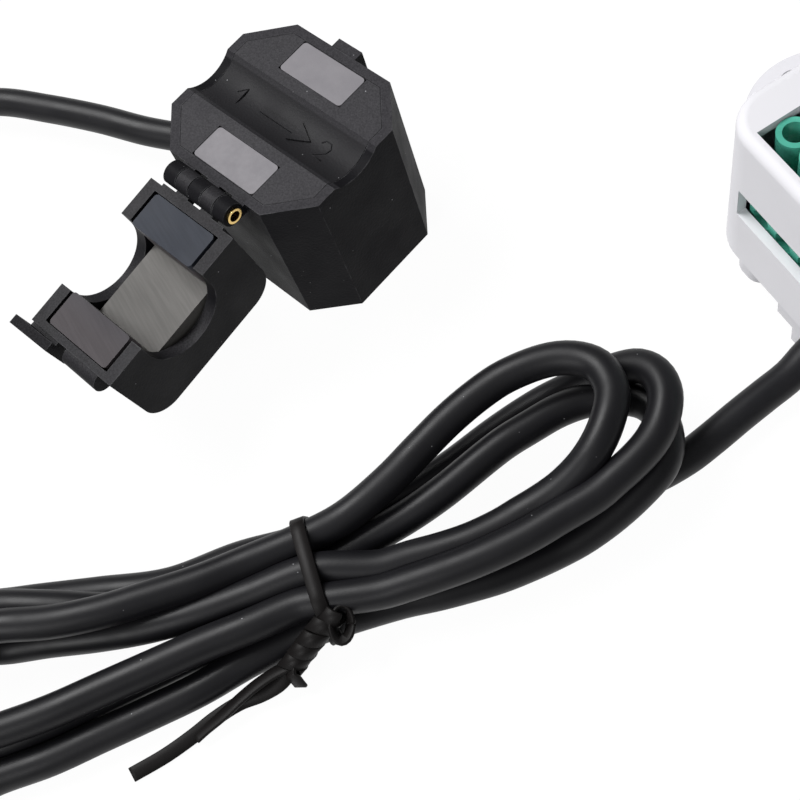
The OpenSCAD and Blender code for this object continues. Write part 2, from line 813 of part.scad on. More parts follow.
// Section round the yoke, t outside it
module yoke_round(t) {
  translate([0, yoke_z + yoke_t / 2]) round_plan(pole_l + 2 * t, yoke_t + 2 * t, min(t, 1));
}

module coil_bobbin() {
  span = pole_gap - 2 * spool_in;
  tube_t = spool_in + spool_t;
  color(cream) in_clamp() difference() {
    union() {
      along_y(span) yoke_round(tube_t);
      for (s = [-1, 1]) translate([0, s * (span - flange_t) / 2, 0]) along_y(flange_t)
        yoke_round(tube_t + wind_t + 0.3);
    }
    translate([0, 0, yoke_z - spool_in])
      upright(pole_l + 2 * spool_in, pole_gap + cut, yoke_t + 2 * spool_in);
  }
}

module coil_winding() {
  span = pole_gap - 2 * spool_in - 2 * flange_t - 2 * run_fit;
  color(copper) in_clamp() difference() {
    along_y(span) yoke_round(spool_in + spool_t + wind_t);
    along_y(span + 2 * cut) yoke_round(spool_in + spool_t + 0.02);
  }
}

module coil_leads() {
  from_x = pole_l / 2 + spool_in + spool_t + wind_t;
  color(copper) in_clamp() for (s = [-1, 1]) translate([cord_stop, s * 0.9, lead_z + 1]) rotate([0, 90, 0])
    cylinder(h = -cord_stop - from_x, r = 0.5);
}

module hinge_pin() {
  color(brass) in_clamp() translate([0, hinge_y, cl_h]) along_x(pin_l) difference() {
    circle(pin_r);
    circle(pin_bore);
  }
}

// Clamp pieces, jaw
module jaw_side() {
  translate([jaw_u0, face_gap]) square([jaw_u1 - jaw_u0, jaw_d - jaw_round - face_gap]);
  translate([jaw_u0 + jaw_round, face_gap]) square([jaw_u1 - jaw_u0 - 2 * jaw_round, jaw_d - face_gap]);
  for (u = [jaw_u0 + jaw_round, jaw_u1 - jaw_round]) translate([u, jaw_d - jaw_round]) circle(jaw_round);
}

module jaw_shell() {
  hollow = pole_gap + 2 * pole_w + 2 * fit;
  window_n = jaw_yoke + window_low - window_r;
  color(charcoal) in_jaw() difference() {
    union() {
      along_x(jaw_l) jaw_side();
      knuckles(1, face_gap, jaw_u0 + eps);
      along_x(knuckle_n * knuckle_l) translate([knuckle_r + web_clear, face_gap])
        square([jaw_u0 - knuckle_r - web_clear + eps, web_n]);
      translate([(lip_x0 + lip_x1) / 2, 0, 0]) along_x(lip_x1 - lip_x0)
        translate([jaw_u1 - eps, 0.6]) square([lip_u + lip_t - jaw_u1 + eps, 3.4]);
      translate([0, lip_u + lip_t / 2, 0]) along_y(lip_t)
        polygon([[lip_x0, -lip_rise], [lip_x1, -0.2], [lip_x1, 1], [lip_x0, 1]]);
      translate([(bump_x0 + bump_x1) / 2, jaw_u1, 2]) along_x(bump_x1 - bump_x0) circle(1.5);
    }
    translate([0, jaw_mid, -cut]) upright(pole_l + 2 * jaw_fit, hollow, core_top + pad_t + cut);
    translate([0, jaw_mid, 0]) along_x(jaw_l + 2 * cut) {
      translate([0, window_n]) circle(window_r);
      translate([-window_r, -cut]) square([2 * window_r, window_n + cut]);
    }
    along_x(pin_l + 2 * cut) circle(pin_r + 0.08);
  }
}

module jaw_core() {
  color(ferrite) in_jaw() translate([0, jaw_mid, 0]) u_core(face_gap, core_top, jaw_yoke, core_top);
}

module jaw_pad() {
  color(grey) in_jaw() translate([0, jaw_mid, core_top])
    upright(pole_l - 2 * pad_edge, pole_gap + 2 * pole_w - 2 * pad_side, pad_t);
}

// Cord pieces
module cord_module_run() {
  color(black) tube(module_route, cord_d, tube_sides);
}

module cord_hank() {
  color(black) in_hank() tube(hank_way, cord_d, hank_sides);
}

module cord_clamp_run() {
  color(black) tube(clamp_route, cord_d, tube_sides);
}

module tie_loop(t) {
  polygon([
    [-tie_side - t, tie_low + tie_t - t], [tie_side + t, tie_low + tie_t - t],
    [tie_side + t, waist_z + 2 + t / 2], [strand_step + 2.4 + t / 2, tie_top + t],
    [-strand_step - 2.4 - t / 2, tie_top + t], [-tie_side - t, waist_z + 2 + t / 2]
  ]);
}

module twist_tie() {
  knot_y = -tie_side - tie_t;
  tail = concat([[tie_p, knot_y + 0.3, tie_knot_z], [tie_p, knot_y - tail_d, tie_knot_z]], tail_way);
  color(grey) in_hank() {
    translate([tie_p, 0, 0]) along_x(tie_w) difference() {
      tie_loop(tie_t);
      tie_loop(0);
    }
    tube(tail, tail_d, hank_sides);
  }
}

module_cover();
module_base();
case_screws();
main_board();
terminal_block();
terminal_pins();
terminal_screw(1);  // terminal_screw_1
terminal_screw(2);  // terminal_screw_2
terminal_screw(3);  // terminal_screw_3
terminal_screw(4);  // terminal_screw_4
terminal_screw(5);  // terminal_screw_5
terminal_screw(6);  // terminal_screw_6
terminal_screw(7);  // terminal_screw_7
terminal_screw(8);  // terminal_screw_8
wire_cage(1);  // wire_cage_1
wire_cage(2);  // wire_cage_2
wire_cage(3);  // wire_cage_3
wire_cage(4);  // wire_cage_4
wire_cage(5);  // wire_cage_5
wire_cage(6);  // wire_cage_6
wire_cage(7);  // wire_cage_7
wire_cage(8);  // wire_cage_8
radio_board();
radio_shield();
metering_chip();
supply_converter();
storage_capacitor();
surge_disc();
fuse();
status_light();
light_pipe();
press_switch();
switch_plunger();
push_button();
module_leads();
clamp_body();
face_plate();
body_core();
coil_bobbin();
coil_winding();
coil_leads();
hinge_pin();
jaw_shell();
jaw_core();
jaw_pad();
cord_module_run();
cord_hank();
cord_clamp_run();
twist_tie();
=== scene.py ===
# %% [markdown]
# A smart energy monitor on a white table: a white wiring module, a folded black cord and a
# split-core current clamp with its jaw laid open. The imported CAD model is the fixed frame.
# Everything here is in metres and in that frame, so a new piece goes where the CAD says.

# %% Load the frame
import math
import bpy
from mathutils import Matrix, Vector


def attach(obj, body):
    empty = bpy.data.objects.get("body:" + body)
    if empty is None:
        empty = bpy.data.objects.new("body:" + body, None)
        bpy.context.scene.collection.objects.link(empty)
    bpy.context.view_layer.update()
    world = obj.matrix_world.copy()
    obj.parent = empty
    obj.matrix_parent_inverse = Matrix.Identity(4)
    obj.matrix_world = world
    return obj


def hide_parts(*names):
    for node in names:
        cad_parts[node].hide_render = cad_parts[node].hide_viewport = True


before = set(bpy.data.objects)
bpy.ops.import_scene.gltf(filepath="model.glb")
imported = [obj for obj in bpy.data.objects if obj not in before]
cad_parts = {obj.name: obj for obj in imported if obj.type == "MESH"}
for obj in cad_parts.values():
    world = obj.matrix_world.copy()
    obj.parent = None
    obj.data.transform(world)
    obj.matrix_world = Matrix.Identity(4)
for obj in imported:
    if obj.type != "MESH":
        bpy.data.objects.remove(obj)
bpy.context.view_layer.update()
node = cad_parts
mm = 0.001

# %% [markdown]
# The camera looks steeply down and is rolled, so the module's edges run aslant in the picture.
# A look-at constraint could not hold the roll. Three directions say it at once: what is right,
# what is up and what is ahead, and they are the columns of the camera's matrix.

# %% Camera
lens_right = Vector((0.8452, -0.4968, -0.1974))
lens_up = Vector((0.5304, 0.7336, 0.4248))
lens_ahead = Vector((0.0663, 0.4637, -0.8835))
lens_place = Vector((-36.31, -67.99, 147.72)) * mm
lens = bpy.data.cameras.new("lens")
lens.sensor_width = 36
lens.lens = 62.52
lens.clip_start = 0.01
lens_object = bpy.data.objects.new("lens", lens)
bpy.context.collection.objects.link(lens_object)
axes = Matrix((lens_right, lens_up, -lens_ahead)).transposed().to_4x4()
lens_object.matrix_world = Matrix.Translation(lens_place) @ axes
bpy.context.scene.camera = lens_object
print("camera", [round(v, 3) for v in lens_place], "angle", round(math.degrees(lens.angle), 1))

# %% [markdown]
# The cord is one round black lead. It leaves the module, is folded into a hank of three and a half loops,
# and goes on to the clamp. A curve drawn in the viewport would do, but soft things are best listed: each
# point of the path is a place in the picture and a height over the table, and the camera says where that is
# in space.

# %% Points seen in the picture
picture_side = 800


def seen(x, y, height):
    """The point at a height (mm) that the camera sees at x, y of the square picture."""
    reach = lens.lens / lens.sensor_width * picture_side
    middle = picture_side / 2
    ray = lens_ahead + lens_right * ((x - middle) / reach) - lens_up * ((y - middle) / reach)
    return lens_place + ray * ((height * mm - lens_place.z) / ray.z)


print("middle of the picture", [round(v, 4) for v in seen(picture_side / 2, picture_side / 2, 0)])

# %% [markdown]
# The module, the clamp and the hank stand on the table, each turned its own way. A point that is
# known in the own axes of one of them, in millimetres, is turned and moved into the frame.

# %% Places of the three groups
hank_place = (-50.91, -4.69, -13.5)
clamp_place = (-20.05, 37.71, -73.0)
module_place = (37.27, -15.78, 0.0)


def placed(point, place):
    """A point (mm) in the own axes of a group, given as x, y and turn, moved into the frame."""
    x, y, turn = place
    c, s = math.cos(math.radians(turn)), math.sin(math.radians(turn))
    return Vector((x + point[0] * c - point[1] * s, y + point[0] * s + point[1] * c, point[2])) * mm


print("hank centre", [round(v, 4) for v in placed((0, 0, 0), hank_place)])

# %% [markdown]
# Seven strands pass the tied waist: four low ones and three in the hollows above them.
# Strand by strand the path goes out to a bend and comes back. Each bend climbs where it has to
# pass over the ones below it, and the left-hand bends are outside the picture. Each list holds
# picture places and heights, and each pair of the waist is a side step and a height.

# %% Route of the cord
cord_d = 3.9
waist = [(-1.3, 2.55), (2.2, 2.55), (-4.8, 2.55), (5.7, 2.55), (-3.2, 5.8), (4.5, 5.8), (0.5, 5.9)]
module_run = [
    (790, 375, 2), (765, 395, 2), (740, 415, 2), (710, 440, 2), (685, 459, 2), (650, 478, 2),
    (605, 492, 2), (555, 515, 2), (500, 540, 2), (440, 560, 2), (385, 578, 2)]
left_bend_1 = [
    (250, 627, 2), (200, 651, 2), (150, 675, 2), (100, 699, 2), (50, 724, 2), (0, 745, 2),
    (-60, 758, 2), (-105, 745, 2.4), (-130, 700, 3.2), (-105, 645, 5), (-50, 612, 5.6),
    (0, 606, 5.6), (60, 607, 5.2), (105, 609, 4.4), (160, 606, 3.4), (220, 594, 2.4)]
right_bend_1 = [
    (395, 524, 3.4), (440, 494, 4.4), (500, 446, 5.2), (530, 427, 5.3), (560, 410, 5.3),
    (590, 400, 5.3), (620, 398, 5.4), (645, 403, 5.6), (661, 418, 6), (667, 443, 6.2),
    (661, 466, 5.8), (643, 488, 5), (615, 514, 3.8), (585, 536, 2.8), (560, 550, 2.2),
    (530, 564, 2), (500, 576, 2), (470, 585, 2), (440, 593, 2), (400, 602, 2)]
left_bend_2 = [
    (300, 635, 2), (250, 660, 2), (200, 689, 2), (150, 713, 2), (100, 736, 2), (50, 759, 2),
    (0, 777, 2), (-40, 795, 2), (-100, 812, 2), (-150, 787, 2), (-175, 720, 2), (-160, 655, 2),
    (-115, 620, 2), (-55, 608, 2), (0, 605, 2), (40, 600, 2), (100, 593, 2), (170, 584, 2),
    (240, 558, 2)]
right_bend_2 = [
    (390, 500, 2), (440, 474, 2), (500, 430, 2), (540, 404, 2.6), (570, 389, 4), (600, 376, 6),
    (622, 368, 7.6), (640, 366, 8.6), (655, 373, 9.3), (664, 388, 9.7), (665, 405, 9.8),
    (660, 425, 9.7), (650, 443, 9.5), (635, 460, 9.3), (615, 478, 9), (595, 495, 8.7),
    (560, 516, 8.4), (530, 534, 8.1), (500, 549, 7.8), (470, 562, 7.4), (440, 573, 7),
    (410, 583, 6.5), (380, 592, 6)]
left_bend_3 = [
    (300, 605, 5.5), (250, 626, 5.6), (200, 646, 5.6), (150, 668, 5.6), (100, 690, 5.6),
    (50, 712, 5.6), (0, 730, 5.6), (-70, 752, 5.6), (-125, 755, 5.6), (-165, 715, 5.8),
    (-140, 662, 7), (-70, 636, 8.2), (0, 626, 8.3), (50, 622, 8), (100, 612, 7.6),
    (150, 597, 7), (200, 581, 6.4), (240, 565, 5.9)]
right_bend_3 = [
    (345, 517, 6), (388, 481, 7.2), (420, 448, 8), (450, 418, 8.7), (480, 393, 9.4),
    (506, 376, 10), (544, 361, 10.6), (573, 358, 11), (598, 366, 11.3), (611, 386, 11.5),
    (612, 402, 11.5), (604, 430, 11), (592, 453, 10.2), (578, 471, 9.2), (560, 488, 8.2),
    (540, 502, 7.4), (520, 514, 6.9), (500, 526, 6.5), (470, 540, 6.2), (440, 550, 6),
    (410, 558, 5.8), (380, 567, 5.6)]
clamp_run = [
    (250, 594, 5), (200, 612, 4.6), (150, 626, 4.2), (100, 635, 3.8), (50, 641, 3.6),
    (0, 648, 3.6), (-40, 645, 7), (-75, 628, 11.5), (-105, 603, 12.3), (-135, 572, 11),
    (-152, 546, 9), (-157, 500, 4.5), (-160, 442, 2), (-174, 374, 2), (-186, 302, 2),
    (-178, 226, 2.2), (-141, 152, 2.8), (-76, 106, 3.6), (0, 102, 4.6), (50, 109, 4.8),
    (100, 119, 5), (150, 132, 5)]
strands = (module_run, left_bend_1, right_bend_1, left_bend_2, right_bend_2, left_bend_3, right_bend_3)
print("strands", len(strands), "route points", sum(len(strand) for strand in strands) + len(clamp_run))

# %% [markdown]
# A smooth line through the points is a Catmull-Rom curve: at each point it heads the way that its
# two neighbours lie.

# %% Smooth line through points


def through(points, step):
    """Points of a Catmull-Rom curve, about step apart."""
    out = []
    for i in range(len(points) - 1):
        a, b = points[max(i - 1, 0)], points[i]
        c, d = points[i + 1], points[min(i + 2, len(points) - 1)]
        span = (c - b).length
        # headings scaled to this span keep uneven spacing from overshooting
        m0 = (c - a) * (span / max((b - a).length + span, 1e-9))
        m1 = (d - b) * (span / max((d - c).length + span, 1e-9))
        count = max(1, round(span / step))
        for j in range(count):
            t = j / count
            out.append((2 * t ** 3 - 3 * t ** 2 + 1) * b + (t ** 3 - 2 * t ** 2 + t) * m0
                       + (3 * t ** 2 - 2 * t ** 3) * c + (t ** 3 - t ** 2) * m1)
    return out + [points[-1]]


exit_x, exit_y, exit_z = -21.0, 1.5, 2.5
inside_module = 6.5
before_wall = 0.5
tie_along = 6.7
clamp_hole_z = 5
clamp_hole_x = (-13.5, -10.8)
cord_points = []
for depth in (inside_module, before_wall):
    cord_points.append(placed((exit_x + depth, exit_y, exit_z), module_place))
for strand, (side, height) in zip(strands, waist):
    cord_points += [seen(*point) for point in strand]
    cord_points.append(placed((tie_along, side, height), hank_place))
cord_points += [seen(*point) for point in clamp_run]
cord_points += [placed((x, 0, clamp_hole_z), clamp_place) for x in clamp_hole_x]
cord_line = through(cord_points, 0.8 * mm)
for point in cord_line:
    point.z = max(point.z, cord_d / 2 * mm)

# %% [markdown]
# A tube is a row of rings along the line. Each ring starts from the one before it and turns only
# as much as the line does, so the skin never twists. A curve with a bevel would look the same,
# but a mesh shows its true outline to every tool that measures it.

# %% Tube


def solid(name, verts, faces):
    """A smooth-shaded mesh object."""
    mesh = bpy.data.meshes.new(name)
    mesh.from_pydata(verts, [], faces)
    mesh.polygons.foreach_set("use_smooth", [True] * len(mesh.polygons))
    obj = bpy.data.objects.new(name, mesh)
    bpy.context.collection.objects.link(obj)
    return obj


def tube(name, line, radius, sides):
    """A round tube along a line, with flat ends."""
    verts, faces = [], []
    across = (line[1] - line[0]).orthogonal()
    for i, place in enumerate(line):
        along = (line[min(i + 1, len(line) - 1)] - line[max(i - 1, 0)]).normalized()
        across = (across - along * across.dot(along)).normalized()
        other = along.cross(across)
        for k in range(sides):
            angle = math.tau * k / sides
            verts.append(place + (across * math.cos(angle) + other * math.sin(angle)) * radius)
    for i in range(len(line) - 1):
        for k in range(sides):
            a, b = sides * i + k, sides * i + (k + 1) % sides
            faces.append((a, b, b + sides, a + sides))
    faces.append(tuple(range(sides - 1, -1, -1)))
    faces.append(tuple(range(len(verts) - sides, len(verts))))
    return solid(name, verts, faces)


cord = tube("cord", cord_line, cord_d / 2 * mm, 24)
print("cord rings", len(cord_line))

# %% [markdown]
# It stands for the three plain cord solids of the CAD.

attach(cord, "monitor")
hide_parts("cord_module_run", "cord_hank", "cord_clamp_run")

# %% [markdown]
# The tie is a flat dark band, of the kind with a wire in it. It goes once round the waist and its
# two ends are twisted together. Every stretch of it is a ribbon: a section that slides along a
# line, with a width direction that may turn on the way. All stretches share one mesh.

# %% Ribbon
tie_wide = 1.7 * mm
tie_thick = 0.42 * mm
tie_verts = []
tie_faces = []
half_w, half_t = tie_wide / 2, tie_thick / 2
edge_t, flat_w = half_t * 0.45, half_w * 0.9
# eight corners of a band whose long edges are rounded
tie_section = [(half_w, -edge_t), (half_w, edge_t), (flat_w, half_t), (-flat_w, half_t),
               (-half_w, edge_t), (-half_w, -edge_t), (-flat_w, -half_t), (flat_w, -half_t)]


def ribbon(line, wide, closed=False):
    """Adds one ribbon along a line to the tie; wide is the width direction at each point."""
    first = len(tie_verts)
    count = len(line)
    for i, place in enumerate(line):
        before = line[i - 1] if closed or i else place
        after = line[(i + 1) % count] if closed or i < count - 1 else place
        along = (after - before).normalized()
        across = (wide[i] - along * wide[i].dot(along)).normalized()
        face = along.cross(across)
        tie_verts.extend(place + across * u + face * v for u, v in tie_section)
    for i in range(count if closed else count - 1):
        a, b = first + 8 * i, first + 8 * ((i + 1) % count)
        tie_faces.extend((a + k, a + (k + 1) % 8, b + (k + 1) % 8, b + k) for k in range(8))
    if not closed:
        tie_faces.append(tuple(range(first + 7, first - 1, -1)))
        tie_faces.append(tuple(range(first + 8 * (count - 1), first + 8 * count)))


print("tie section corners", len(tie_section))

# %% [markdown]
# Round the waist the band is as tight as a rubber sheet stretched over the strands. Rings of
# points stand just outside every strand, and the outermost of them, taken in order, are the
# line that such a sheet would follow.

# %% Band round the waist


def stretched_round(points):
    """The outer ring of a set of flat points, as a stretched sheet would touch it."""
    def turns_in(p, q, r):
        return (q[0] - p[0]) * (r[1] - p[1]) <= (q[1] - p[1]) * (r[0] - p[0])

    def side(run):
        out = []
        for q in run:
            while len(out) > 1 and turns_in(out[-2], out[-1], q):
                out.pop()
            out.append(q)
        return out[:-1]
    run = sorted(points)
    return side(run) + side(run[::-1])


reach_out = cord_d / 2 + 0.27
ring_turns = [math.radians(15 * k) for k in range(24)]
rings = [(q + reach_out * math.cos(a), z + reach_out * math.sin(a)) for q, z in waist for a in ring_turns]
band_ring = [placed((tie_along, q, z), hank_place) for q, z in stretched_round(rings)]
band_line = through(band_ring, 0.6 * mm)
hank_way = placed((1, 0, 0), hank_place) - placed((0, 0, 0), hank_place)
ribbon(band_line, [hank_way] * len(band_line), closed=True)
print("tie band points", len(band_line))

# %% [markdown]
# The twist: both ends wind about one line, half a turn apart, like the two stripes of a barber's
# pole. Their width lies along that line. Below the twist they part: both lie flat on the table
# and cross once, and the longer one runs on as the tail. A short curl is left over.

# %% Twisted ends and tail
twist_seen = [
    (338, 612, 6.6), (328, 621, 5.9), (317, 633, 5.2), (307, 646, 4.2), (298, 658, 3.2), (291, 668, 2.6)]
tail_long = [
    (293, 664, 2.9), (282, 682, 2.2), (263, 694, 1.6), (240, 703, 1.2), (216, 718, 0.9),
    (192, 737, 0.7), (165, 756, 0.5), (132, 775, 0.5)]
tail_short = [
    (293, 664, 2.9), (276, 672, 2.7), (258, 684, 2.4), (240, 699, 2.0), (222, 716, 1.5),
    (206, 729, 1.1), (196, 738, 0.9)]
curl_seen = [(292, 667, 3.2), (291, 674, 3.2), (296, 680, 2.4), (301, 686, 1.4)]
twist_pitch = 3.6 * mm
twist_off = 1.2 * mm
twist_start = 0.4
table_up = Vector((0, 0, 1))


def turned_about(line, start, pitch):
    """Directions square to a line that turn once in every pitch along it."""
    out, gone = [], 0.0
    for i, place in enumerate(line):
        gone += (place - line[i - 1]).length if i else 0.0
        along = (line[min(i + 1, len(line) - 1)] - line[max(i - 1, 0)]).normalized()
        level = along.cross(table_up).normalized()
        angle = start + (math.tau * gone / pitch if pitch else 0.0)
        out.append(level * math.cos(angle) + along.cross(level) * math.sin(angle))
    return out


twist_line = through([seen(*p) for p in twist_seen], 0.12 * mm)
twist_way = twist_line[-1] - twist_line[0]
for start in (twist_start, twist_start + math.pi):
    outward = turned_about(twist_line, start, twist_pitch)
    wound = [place + out * twist_off for place, out in zip(twist_line, outward)]
    ribbon(wound, [twist_way] * len(wound))
for ends_seen, tilt in ((tail_long, -0.35), (tail_short, 0.5), (curl_seen, 0.8)):
    flat_line = through([seen(*p) for p in ends_seen], 0.4 * mm)
    ribbon(flat_line, turned_about(flat_line, tilt, 0.0))
print("tie faces with the twist", len(tie_faces))

# %% [markdown]
# At the knot one end passes once round the other, which leaves a small open loop beside the
# strands. It is an upright ring that faces the camera, with its band turned a little outward.

# %% Knot of the tie
knot_mid = seen(342, 624, 6.2)
knot_wide, knot_tall, knot_lean = 0.95 * mm, 1.65 * mm, 0.5 * mm
knot_turns = [math.radians(15 * k) for k in range(25)]
knot_out = [lens_right * (knot_wide * math.cos(a)) - lens_up * (knot_tall * math.sin(a)) for a in knot_turns]
knot_line = [knot_mid + out - lens_ahead * (knot_lean * math.sin(a)) for out, a in zip(knot_out, knot_turns)]
ribbon(knot_line, [out.normalized() * 0.6 - lens_ahead for out in knot_out])
tie_band = solid("tie_band", tie_verts, tie_faces)
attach(tie_band, "monitor")
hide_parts("twist_tie")
print("tie faces", len(tie_faces))

# %% [markdown]
# The clamp's groove carries small raised marks beside the arrow. Plain figures stand there, drawn
# with a thin round line that follows the groove's curved floor. A text object would lie flat and
# would not follow the curve.

# %% Marks in the groove
groove_mid = 25.8
groove_r = 5.0
mark_r = 0.09 * mm
mark_strokes = {
    "mark_one": [(-8.0, 0.2), (-6.9, 1.2), (-6.9, -1.2)],
    "mark_two": [(5.9, 0.7), (6.3, 1.2), (7.1, 1.2), (7.5, 0.6), (7.3, -0.1), (5.9, -1.2), (7.6, -1.2)]}
marks = []
for name, stroke in mark_strokes.items():
    floor_line = []
    for x, y in stroke:
        floor_line.append(placed((x, y, groove_mid - math.sqrt(groove_r ** 2 - y ** 2)), clamp_place))
    mark = tube(name, floor_line, mark_r, 8)
    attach(mark, "monitor")
    marks.append(mark)
print("marks", [mark.name for mark in marks])

# %% [markdown]
# The studio is a white table under soft light. The picture's white comes from the table's own
# material: for the rays that the eye follows, most of it glows white and the rest is a plain
# diffuse surface, so soft contact shadows stay. Other rays meet a plain pale table.

# %% Table finish
scene = bpy.context.scene
scene.view_settings.view_transform = "Standard"


def node_material(name):
    """A new node material, with its nodes and its links."""
    material = bpy.data.materials.new(name)
    material.use_nodes = True
    return material, material.node_tree.nodes, material.node_tree.links


def seen_by_eye(nodes, links):
    """1 for camera, glossy and transmission rays, 0 for the rest."""
    path = nodes.new("ShaderNodeLightPath")
    first = nodes.new("ShaderNodeMath")
    first.operation = "MAXIMUM"
    links.new(path.outputs["Is Camera Ray"], first.inputs[0])
    links.new(path.outputs["Is Glossy Ray"], first.inputs[1])
    second = nodes.new("ShaderNodeMath")
    second.operation = "MAXIMUM"
    links.new(first.outputs[0], second.inputs[0])
    links.new(path.outputs["Is Transmission Ray"], second.inputs[1])
    return second.outputs[0]


table_white, nodes, links = node_material("table_white")
nodes.remove(nodes["Principled BSDF"])
plain = nodes.new("ShaderNodeBsdfDiffuse")
plain.inputs["Color"].default_value = (0.5, 0.5, 0.5, 1)
glow = nodes.new("ShaderNodeEmission")
glow.inputs["Strength"].default_value = 1.05
eye_share = nodes.new("ShaderNodeMath")
eye_share.operation = "MULTIPLY"
links.new(seen_by_eye(nodes, links), eye_share.inputs[0])
eye_share.inputs[1].default_value = 0.92
table_mix = nodes.new("ShaderNodeMixShader")
links.new(eye_share.outputs[0], table_mix.inputs[0])
links.new(plain.outputs[0], table_mix.inputs[1])
links.new(glow.outputs[0], table_mix.inputs[2])
links.new(table_mix.outputs[0], nodes["Material Output"].inputs["Surface"])
print("table nodes", len(nodes))

# %% [markdown]
# The table itself is one square, a hair under the feet so that no two faces coincide, and so wide
# that little sky shows behind it in a low view.

# %% Table
half_table = 30
table_mesh = bpy.data.meshes.new("table")
table_corners = [(x * half_table, y * half_table, 0) for x, y in ((-1, -1), (1, -1), (1, 1), (-1, 1))]
table_mesh.from_pydata(table_corners, [], [(0, 1, 2, 3)])
table = bpy.data.objects.new("table", table_mesh)
table.location.z = -0.00002
bpy.context.collection.objects.link(table)
table.data.materials.append(table_white)
print("table side", 2 * half_table)

# %% [markdown]
# A studio light is a large soft box. The key lamp stands behind the object to one side and rakes
# the black faces that look up, and a weak one lifts the module's walls. The sky fills the rest.

# %% Lamps and sky
world = bpy.data.worlds.new("studio")
world.use_nodes = True
sky = world.node_tree.nodes["Background"]
sky.inputs["Color"].default_value = (1, 1, 1, 1)
sky.inputs["Strength"].default_value = 0.28
scene.world = world


def soft_lamp(name, place, aim, size, watts):
    """A rectangular lamp at a place that looks at another."""
    data = bpy.data.lights.new(name, "AREA")
    data.shape = "RECTANGLE"
    data.size, data.size_y = size
    data.energy = watts
    lamp = bpy.data.objects.new(name, data)
    lamp.location = place
    lamp.rotation_euler = (Vector(aim) - Vector(place)).to_track_quat("-Z", "Y").to_euler()
    bpy.context.collection.objects.link(lamp)
    return lamp


key_lamp = soft_lamp("key_lamp", (-0.25, 0.45, 0.75), (0, 0, 0), (0.5, 0.35), 8.6)
side_lamp = soft_lamp("side_lamp", (-0.7, -0.3, 0.5), (0, 0, 0), (0.35, 0.35), 3.2)
print("lamps", [(lamp.name, round(lamp.data.energy, 1)) for lamp in (key_lamp, side_lamp)])

# %% [markdown]
# Every finish here is made of nodes, with no pictures. Two small helpers come back all the time:
# a colour ramp that turns a number into a tone, and a noise that gives that number.

# %% Ramp and noise
black, white = (0, 0, 0), (1, 1, 1)


def ramp_node(nodes, links, source, stops):
    """A colour that follows a number, through stops of place and colour."""
    ramp = nodes.new("ShaderNodeValToRGB")
    while len(ramp.color_ramp.elements) < len(stops):
        ramp.color_ramp.elements.new(0.5)
    for element, (place, colour) in zip(ramp.color_ramp.elements, stops):
        element.position = place
        element.color = (*colour, 1)
    links.new(source, ramp.inputs["Fac"])
    return ramp.outputs["Color"]


def noise_node(nodes, links, coords, scale, detail=3.0, stretch=None):
    """A soft noise; stretch scales its axes apart, which draws it out into lines."""
    noise = nodes.new("ShaderNodeTexNoise")
    noise.inputs["Scale"].default_value = scale
    noise.inputs["Detail"].default_value = detail
    source = coords
    if stretch:
        mapping = nodes.new("ShaderNodeMapping")
        mapping.inputs["Scale"].default_value = stretch
        links.new(coords, mapping.inputs["Vector"])
        source = mapping.outputs["Vector"]
    links.new(source, noise.inputs["Vector"])
    return noise.outputs["Fac"]


print("helpers", ramp_node.__name__, noise_node.__name__)

# %% [markdown]
# Layers are mixed by masks. A mask is a number from 0 to 1: here a band of heights, in which the rim of the
# clamp lies and where painted light falls on its faces that look up, and the sharp edges, where use has
# rubbed the black plastic paler.

# %% Mixing and masks


def mixed(nodes, links, share, first, second):
    """A colour between two; the second is a socket or a plain colour."""
    mix = nodes.new("ShaderNodeMix")
    mix.data_type = "RGBA"
    links.new(share, mix.inputs["Factor"])
    links.new(first, mix.inputs["A"])
    if isinstance(second, tuple):
        mix.inputs["B"].default_value = (*second, 1)
    else:
        links.new(second, mix.inputs["B"])
    return mix.outputs["Result"]


def product(nodes, links, first, second):
    """Two numbers multiplied."""
    times = nodes.new("ShaderNodeMath")
    times.operation = "MULTIPLY"
    links.new(first, times.inputs[0])
    links.new(second, times.inputs[1])
    return times.outputs[0]


def height_share(nodes, links, coords, low, high):
    """0 at the low height (mm), 1 at the high one, and even between them."""
    height = nodes.new("ShaderNodeSeparateXYZ")
    links.new(coords, height.inputs[0])
    share = nodes.new("ShaderNodeMapRange")
    links.new(height.outputs["Z"], share.inputs["Value"])
    share.inputs["From Min"].default_value = low * mm
    share.inputs["From Max"].default_value = high * mm
    return share.outputs["Result"]


def height_band(nodes, links, coords, low, high):
    """1 between two heights (mm) and 0 outside them."""
    share = height_share(nodes, links, coords, low, high)
    return ramp_node(nodes, links, share, [(0.0, black), (0.15, white), (0.85, white), (1.0, black)])


def edge_mask(nodes, links, coords):
    """1 on sharp edges, broken up by a noise, and 0 on the faces."""
    rounded = nodes.new("ShaderNodeBevel")
    rounded.samples = 4
    rounded.inputs["Radius"].default_value = 0.0002
    flat = nodes.new("ShaderNodeNewGeometry")
    match = nodes.new("ShaderNodeVectorMath")
    match.operation = "DOT_PRODUCT"
    links.new(rounded.outputs["Normal"], match.inputs[0])
    links.new(flat.outputs["Normal"], match.inputs[1])
    edge = ramp_node(nodes, links, match.outputs["Value"], [(0.86, white), (0.99, black)])
    worn = noise_node(nodes, links, coords, 700, 5.0)
    return product(nodes, links, edge, ramp_node(nodes, links, worn, [(0.4, black), (0.72, white)]))


print("masks", height_band.__name__, edge_mask.__name__)

# %% [markdown]
# Most finishes here are moulded plastic. One helper lays the common layers: a colour that drifts a little
# between two tones, a fine grain in the bump, and a roughness that wanders. A few pale specks are dust.
# Faces that look up can get a paler grey as painted light from above. Constants go straight on the shader's
# sockets, so they survive an export.

# %% Moulded finish
dust = (0.45, 0.45, 0.47)


